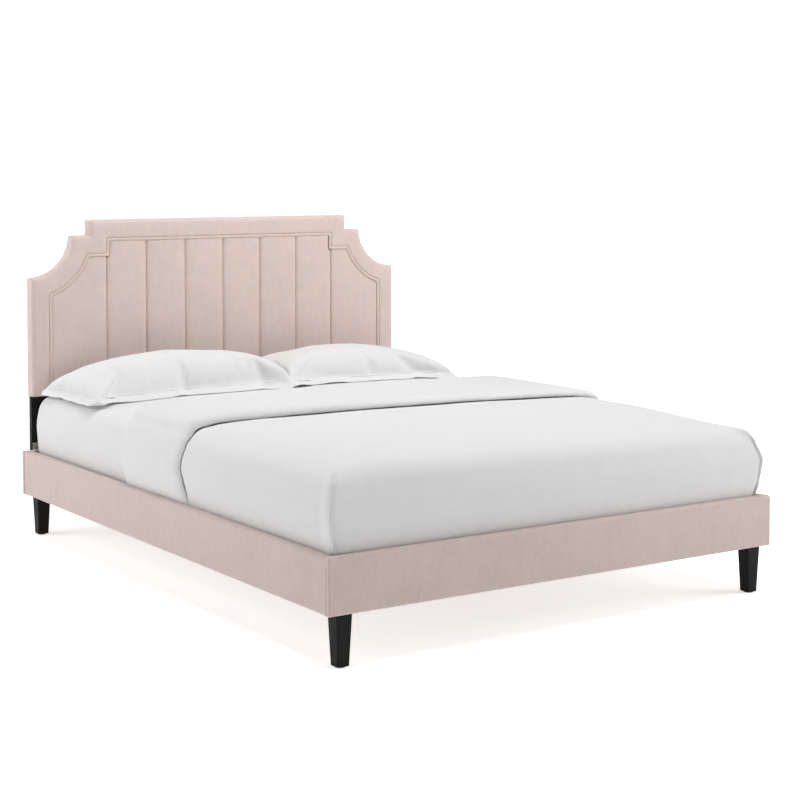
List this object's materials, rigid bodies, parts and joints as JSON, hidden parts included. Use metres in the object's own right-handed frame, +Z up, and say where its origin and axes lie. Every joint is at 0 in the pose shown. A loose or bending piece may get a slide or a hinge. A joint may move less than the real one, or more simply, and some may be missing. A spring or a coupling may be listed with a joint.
{
  "type": "upholstered headboard bed",
  "caption": "Queen-size platform bed covered in velvet, with a stepped channelled headboard, tapered black legs, slats, mattress, duvet and pillows.",
  "frame": {"origin": "on the floor, at the centre of the whole footprint from the foot rail's front to the headboard's back", "axes": "+X to the right seen from the foot, +Y from the foot to the head, +Z up"},
  "size_m": [1.62, 2.152, 1.134],
  "materials": {
    "velvet": "short-pile velvet over thin foam",
    "plywood": "unfinished plywood",
    "pine": "planed softwood",
    "black_wood": "black satin lacquer on wood",
    "black_steel": "black powder coat",
    "zinc": "zinc plated steel",
    "nylon": "moulded nylon",
    "lining": "non-woven dust cloth",
    "ticking": "fitted cotton sheet over the mattress",
    "duvet_cotton": "washed cotton duvet cover",
    "pillow_cotton": "washed cotton pillow case"
  },
  "bodies": {
    "bed_frame": {"foot_rail_board": "plywood", "head_rail_board": "plywood", "left_rail_board": "plywood", "right_rail_board": "plywood", "foot_rail_cover": "velvet", "head_rail_cover": "velvet", "left_rail_cover": "velvet", "right_rail_cover": "velvet", "leg_foot_left": "black_wood", "leg_foot_right": "black_wood", "leg_head_left": "black_wood", "leg_head_right": "black_wood", "glide_foot_left": "nylon", "glide_foot_right": "nylon", "glide_head_left": "nylon", "glide_head_right": "nylon", "corner_block_foot_left": "pine", "corner_block_foot_right": "pine", "corner_block_head_left": "pine", "corner_block_head_right": "pine", "ledger_left": "pine", "ledger_right": "pine", "beam_hanger_foot": "zinc", "beam_hanger_head": "zinc", "centre_beam": "pine", "centre_leg_foot": "black_wood", "centre_leg_head": "black_wood", "slat_1": "pine", "slat_2": "pine", "slat_3": "pine", "slat_4": "pine", "slat_5": "pine", "slat_6": "pine", "slat_7": "pine", "slat_8": "pine", "slat_9": "pine", "slat_10": "pine", "headboard_border": "velvet", "headboard_wing_left": "velvet", "headboard_channel_1": "velvet", "headboard_channel_2": "velvet", "headboard_channel_3": "velvet", "headboard_channel_4": "velvet", "headboard_channel_5": "velvet", "headboard_channel_6": "velvet", "headboard_wing_right": "velvet", "headboard_face_board": "plywood", "headboard_post_left": "black_wood", "headboard_post_right": "black_wood", "headboard_batten_lower": "pine", "headboard_batten_crown": "pine", "headboard_lining": "lining", "head_bracket_left": "zinc", "head_bracket_right": "zinc"},
    "mattress": {"mattress": "ticking"},
    "duvet": {"duvet": "duvet_cotton"},
    "pillow_left": {"pillow_left": "pillow_cotton"},
    "pillow_right": {"pillow_right": "pillow_cotton"},
    "levelling_foot_foot": {"levelling_foot_foot": "black_steel"},
    "levelling_foot_head": {"levelling_foot_head": "black_steel"}
  },
  "joints": [
    {"name": "mattress_lift", "type": "slide", "parent": "bed_frame", "child": "mattress", "axis": [0, 0, 1], "range_m": [0, 0.95]},
    {"name": "duvet_lift", "type": "slide", "parent": "mattress", "child": "duvet", "axis": [0, 0, 1], "range_m": [0, 0.4]},
    {"name": "pillow_left_lift", "type": "slide", "parent": "mattress", "child": "pillow_left", "axis": [0, 0, 1], "range_m": [0, 0.65]},
    {"name": "pillow_right_lift", "type": "slide", "parent": "mattress", "child": "pillow_right", "axis": [0, 0, 1], "range_m": [0, 0.65]},
    {"name": "levelling_foot_foot_travel", "type": "slide", "parent": "bed_frame", "child": "levelling_foot_foot", "axis": [0, 0, 1], "range_m": [0, 0.012]},
    {"name": "levelling_foot_head_travel", "type": "slide", "parent": "bed_frame", "child": "levelling_foot_head", "axis": [0, 0, 1], "range_m": [0, 0.012]}
  ]
}
